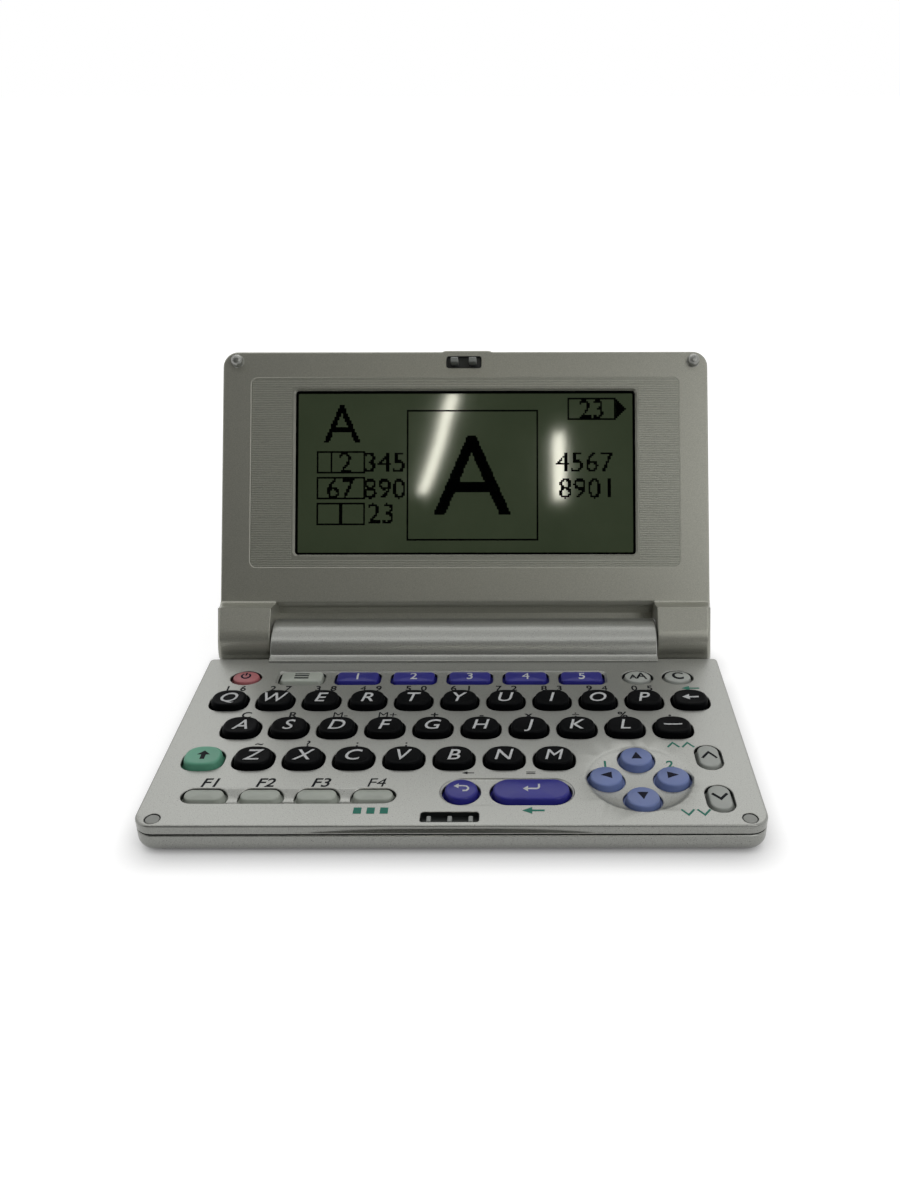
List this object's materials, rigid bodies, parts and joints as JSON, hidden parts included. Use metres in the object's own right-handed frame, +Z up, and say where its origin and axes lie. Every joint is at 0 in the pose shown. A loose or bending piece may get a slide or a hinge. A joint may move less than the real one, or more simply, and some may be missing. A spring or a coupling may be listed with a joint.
{
  "type": "electronic dictionary",
  "caption": "Pocket electronic dictionary: thin keyboard case with a hinged display lid, spring-return keys, a front latch pocket and a battery cover that slides off.",
  "frame": {"origin": "bottom centre of the box around the whole part with its lid open at the pictured angle, in the plane of the feet", "axes": "+X to the right along the hinge, +Y to the back, away from the user, +Z up"},
  "size_m": [0.1174, 0.108, 0.0675],
  "materials": {
    "silver_paint": "satin silver paint",
    "black_key": "satin",
    "blue_key": "satin",
    "periwinkle_key": "satin",
    "green_key": "satin",
    "red_key": "satin",
    "pale_key": "satin",
    "grey_key": "satin",
    "display_glass": "gloss",
    "rubber_mat": "matte",
    "circuit_board": "satin solder mask",
    "steel": "satin"
  },
  "bodies": {
    "keyboard_case": {"lower_case": "silver_paint", "upper_case": "silver_paint", "coin_cell": "steel", "circuit_board": "circuit_board", "key_mat": "rubber_mat", "hinge_shaft": "steel"},
    "lid": {"lid_frame": "silver_paint", "lid_back_cover": "silver_paint", "lcd_panel": "display_glass"},
    "battery_cover": {"battery_cover": "silver_paint"},
    "key_power": {"key_power": "red_key"},
    "key_menu": {"key_menu": "pale_key"},
    "key_dictionary_1": {"key_dictionary_1": "blue_key"},
    "key_dictionary_2": {"key_dictionary_2": "blue_key"},
    "key_dictionary_3": {"key_dictionary_3": "blue_key"},
    "key_dictionary_4": {"key_dictionary_4": "blue_key"},
    "key_dictionary_5": {"key_dictionary_5": "blue_key"},
    "key_text_size": {"key_text_size": "grey_key"},
    "key_clear": {"key_clear": "grey_key"},
    "key_q": {"key_q": "black_key"},
    "key_w": {"key_w": "black_key"},
    "key_e": {"key_e": "black_key"},
    "key_r": {"key_r": "black_key"},
    "key_t": {"key_t": "black_key"},
    "key_y": {"key_y": "black_key"},
    "key_u": {"key_u": "black_key"},
    "key_i": {"key_i": "black_key"},
    "key_o": {"key_o": "black_key"},
    "key_p": {"key_p": "black_key"},
    "key_backspace": {"key_backspace": "black_key"},
    "key_a": {"key_a": "black_key"},
    "key_s": {"key_s": "black_key"},
    "key_d": {"key_d": "black_key"},
    "key_f": {"key_f": "black_key"},
    "key_g": {"key_g": "black_key"},
    "key_h": {"key_h": "black_key"},
    "key_j": {"key_j": "black_key"},
    "key_k": {"key_k": "black_key"},
    "key_l": {"key_l": "black_key"},
    "key_dash": {"key_dash": "black_key"},
    "key_shift": {"key_shift": "green_key"},
    "key_z": {"key_z": "black_key"},
    "key_x": {"key_x": "black_key"},
    "key_c": {"key_c": "black_key"},
    "key_v": {"key_v": "black_key"},
    "key_b": {"key_b": "black_key"},
    "key_n": {"key_n": "black_key"},
    "key_m": {"key_m": "black_key"},
    "key_lookup": {"key_lookup": "pale_key"},
    "key_jump": {"key_jump": "pale_key"},
    "key_guide": {"key_guide": "pale_key"},
    "key_bookmark": {"key_bookmark": "pale_key"},
    "key_back": {"key_back": "blue_key"},
    "key_enter": {"key_enter": "blue_key"},
    "key_up": {"key_up": "periwinkle_key"},
    "key_left": {"key_left": "periwinkle_key"},
    "key_right": {"key_right": "periwinkle_key"},
    "key_down": {"key_down": "periwinkle_key"},
    "key_page_up": {"key_page_up": "grey_key"},
    "key_page_down": {"key_page_down": "grey_key"}
  },
  "joints": [
    {"name": "lid_hinge", "type": "hinge", "parent": "keyboard_case", "child": "lid", "pos_m": [0, 0.01502, 0.008], "axis": [1, 0, 0], "range_deg": [-20, 120]},
    {"name": "battery_cover_slide", "type": "slide", "parent": "keyboard_case", "child": "battery_cover", "axis": [0, 1, 0], "range_m": [0, 0.022]},
    {"name": "key_power_press", "type": "slide", "parent": "keyboard_case", "child": "key_power", "axis": [0, 0, -1], "range_m": [0, 0.0007], "stiffness_N_per_m": 600},
    {"name": "key_menu_press", "type": "slide", "parent": "keyboard_case", "child": "key_menu", "axis": [0, 0, -1], "range_m": [0, 0.0007], "stiffness_N_per_m": 600},
    {"name": "key_dictionary_1_press", "type": "slide", "parent": "keyboard_case", "child": "key_dictionary_1", "axis": [0, 0, -1], "range_m": [0, 0.0007], "stiffness_N_per_m": 600},
    {"name": "key_dictionary_2_press", "type": "slide", "parent": "keyboard_case", "child": "key_dictionary_2", "axis": [0, 0, -1], "range_m": [0, 0.0007], "stiffness_N_per_m": 600},
    {"name": "key_dictionary_3_press", "type": "slide", "parent": "keyboard_case", "child": "key_dictionary_3", "axis": [0, 0, -1], "range_m": [0, 0.0007], "stiffness_N_per_m": 600},
    {"name": "key_dictionary_4_press", "type": "slide", "parent": "keyboard_case", "child": "key_dictionary_4", "axis": [0, 0, -1], "range_m": [0, 0.0007], "stiffness_N_per_m": 600},
    {"name": "key_dictionary_5_press", "type": "slide", "parent": "keyboard_case", "child": "key_dictionary_5", "axis": [0, 0, -1], "range_m": [0, 0.0007], "stiffness_N_per_m": 600},
    {"name": "key_text_size_press", "type": "slide", "parent": "keyboard_case", "child": "key_text_size", "axis": [0, 0, -1], "range_m": [0, 0.0007], "stiffness_N_per_m": 600},
    {"name": "key_clear_press", "type": "slide", "parent": "keyboard_case", "child": "key_clear", "axis": [0, 0, -1], "range_m": [0, 0.0007], "stiffness_N_per_m": 600},
    {"name": "key_q_press", "type": "slide", "parent": "keyboard_case", "child": "key_q", "axis": [0, 0, -1], "range_m": [0, 0.0007], "stiffness_N_per_m": 600},
    {"name": "key_w_press", "type": "slide", "parent": "keyboard_case", "child": "key_w", "axis": [0, 0, -1], "range_m": [0, 0.0007], "stiffness_N_per_m": 600},
    {"name": "key_e_press", "type": "slide", "parent": "keyboard_case", "child": "key_e", "axis": [0, 0, -1], "range_m": [0, 0.0007], "stiffness_N_per_m": 600},
    {"name": "key_r_press", "type": "slide", "parent": "keyboard_case", "child": "key_r", "axis": [0, 0, -1], "range_m": [0, 0.0007], "stiffness_N_per_m": 600},
    {"name": "key_t_press", "type": "slide", "parent": "keyboard_case", "child": "key_t", "axis": [0, 0, -1], "range_m": [0, 0.0007], "stiffness_N_per_m": 600},
    {"name": "key_y_press", "type": "slide", "parent": "keyboard_case", "child": "key_y", "axis": [0, 0, -1], "range_m": [0, 0.0007], "stiffness_N_per_m": 600},
    {"name": "key_u_press", "type": "slide", "parent": "keyboard_case", "child": "key_u", "axis": [0, 0, -1], "range_m": [0, 0.0007], "stiffness_N_per_m": 600},
    {"name": "key_i_press", "type": "slide", "parent": "keyboard_case", "child": "key_i", "axis": [0, 0, -1], "range_m": [0, 0.0007], "stiffness_N_per_m": 600},
    {"name": "key_o_press", "type": "slide", "parent": "keyboard_case", "child": "key_o", "axis": [0, 0, -1], "range_m": [0, 0.0007], "stiffness_N_per_m": 600},
    {"name": "key_p_press", "type": "slide", "parent": "keyboard_case", "child": "key_p", "axis": [0, 0, -1], "range_m": [0, 0.0007], "stiffness_N_per_m": 600},
    {"name": "key_backspace_press", "type": "slide", "parent": "keyboard_case", "child": "key_backspace", "axis": [0, 0, -1], "range_m": [0, 0.0007], "stiffness_N_per_m": 600},
    {"name": "key_a_press", "type": "slide", "parent": "keyboard_case", "child": "key_a", "axis": [0, 0, -1], "range_m": [0, 0.0007], "stiffness_N_per_m": 600},
    {"name": "key_s_press", "type": "slide", "parent": "keyboard_case", "child": "key_s", "axis": [0, 0, -1], "range_m": [0, 0.0007], "stiffness_N_per_m": 600},
    {"name": "key_d_press", "type": "slide", "parent": "keyboard_case", "child": "key_d", "axis": [0, 0, -1], "range_m": [0, 0.0007], "stiffness_N_per_m": 600},
    {"name": "key_f_press", "type": "slide", "parent": "keyboard_case", "child": "key_f", "axis": [0, 0, -1], "range_m": [0, 0.0007], "stiffness_N_per_m": 600},
    {"name": "key_g_press", "type": "slide", "parent": "keyboard_case", "child": "key_g", "axis": [0, 0, -1], "range_m": [0, 0.0007], "stiffness_N_per_m": 600},
    {"name": "key_h_press", "type": "slide", "parent": "keyboard_case", "child": "key_h", "axis": [0, 0, -1], "range_m": [0, 0.0007], "stiffness_N_per_m": 600},
    {"name": "key_j_press", "type": "slide", "parent": "keyboard_case", "child": "key_j", "axis": [0, 0, -1], "range_m": [0, 0.0007], "stiffness_N_per_m": 600},
    {"name": "key_k_press", "type": "slide", "parent": "keyboard_case", "child": "key_k", "axis": [0, 0, -1], "range_m": [0, 0.0007], "stiffness_N_per_m": 600},
    {"name": "key_l_press", "type": "slide", "parent": "keyboard_case", "child": "key_l", "axis": [0, 0, -1], "range_m": [0, 0.0007], "stiffness_N_per_m": 600},
    {"name": "key_dash_press", "type": "slide", "parent": "keyboard_case", "child": "key_dash", "axis": [0, 0, -1], "range_m": [0, 0.0007], "stiffness_N_per_m": 600},
    {"name": "key_shift_press", "type": "slide", "parent": "keyboard_case", "child": "key_shift", "axis": [0, 0, -1], "range_m": [0, 0.0007], "stiffness_N_per_m": 600},
    {"name": "key_z_press", "type": "slide", "parent": "keyboard_case", "child": "key_z", "axis": [0, 0, -1], "range_m": [0, 0.0007], "stiffness_N_per_m": 600},
    {"name": "key_x_press", "type": "slide", "parent": "keyboard_case", "child": "key_x", "axis": [0, 0, -1], "range_m": [0, 0.0007], "stiffness_N_per_m": 600},
    {"name": "key_c_press", "type": "slide", "parent": "keyboard_case", "child": "key_c", "axis": [0, 0, -1], "range_m": [0, 0.0007], "stiffness_N_per_m": 600},
    {"name": "key_v_press", "type": "slide", "parent": "keyboard_case", "child": "key_v", "axis": [0, 0, -1], "range_m": [0, 0.0007], "stiffness_N_per_m": 600},
    {"name": "key_b_press", "type": "slide", "parent": "keyboard_case", "child": "key_b", "axis": [0, 0, -1], "range_m": [0, 0.0007], "stiffness_N_per_m": 600},
    {"name": "key_n_press", "type": "slide", "parent": "keyboard_case", "child": "key_n", "axis": [0, 0, -1], "range_m": [0, 0.0007], "stiffness_N_per_m": 600},
    {"name": "key_m_press", "type": "slide", "parent": "keyboard_case", "child": "key_m", "axis": [0, 0, -1], "range_m": [0, 0.0007], "stiffness_N_per_m": 600},
    {"name": "key_lookup_press", "type": "slide", "parent": "keyboard_case", "child": "key_lookup", "axis": [0, 0, -1], "range_m": [0, 0.0007], "stiffness_N_per_m": 600},
    {"name": "key_jump_press", "type": "slide", "parent": "keyboard_case", "child": "key_jump", "axis": [0, 0, -1], "range_m": [0, 0.0007], "stiffness_N_per_m": 600},
    {"name": "key_guide_press", "type": "slide", "parent": "keyboard_case", "child": "key_guide", "axis": [0, 0, -1], "range_m": [0, 0.0007], "stiffness_N_per_m": 600},
    {"name": "key_bookmark_press", "type": "slide", "parent": "keyboard_case", "child": "key_bookmark", "axis": [0, 0, -1], "range_m": [0, 0.0007], "stiffness_N_per_m": 600},
    {"name": "key_back_press", "type": "slide", "parent": "keyboard_case", "child": "key_back", "axis": [0, 0, -1], "range_m": [0, 0.0007], "stiffness_N_per_m": 600},
    {"name": "key_enter_press", "type": "slide", "parent": "keyboard_case", "child": "key_enter", "axis": [0, 0, -1], "range_m": [0, 0.0007], "stiffness_N_per_m": 600},
    {"name": "key_up_press", "type": "slide", "parent": "keyboard_case", "child": "key_up", "axis": [0, 0, -1], "range_m": [0, 0.0007], "stiffness_N_per_m": 600},
    {"name": "key_left_press", "type": "slide", "parent": "keyboard_case", "child": "key_left", "axis": [0, 0, -1], "range_m": [0, 0.0007], "stiffness_N_per_m": 600},
    {"name": "key_right_press", "type": "slide", "parent": "keyboard_case", "child": "key_right", "axis": [0, 0, -1], "range_m": [0, 0.0007], "stiffness_N_per_m": 600},
    {"name": "key_down_press", "type": "slide", "parent": "keyboard_case", "child": "key_down", "axis": [0, 0, -1], "range_m": [0, 0.0007], "stiffness_N_per_m": 600},
    {"name": "key_page_up_press", "type": "slide", "parent": "keyboard_case", "child": "key_page_up", "axis": [0, 0, -1], "range_m": [0, 0.0007], "stiffness_N_per_m": 600},
    {"name": "key_page_down_press", "type": "slide", "parent": "keyboard_case", "child": "key_page_down", "axis": [0, 0, -1], "range_m": [0, 0.0007], "stiffness_N_per_m": 600}
  ]
}
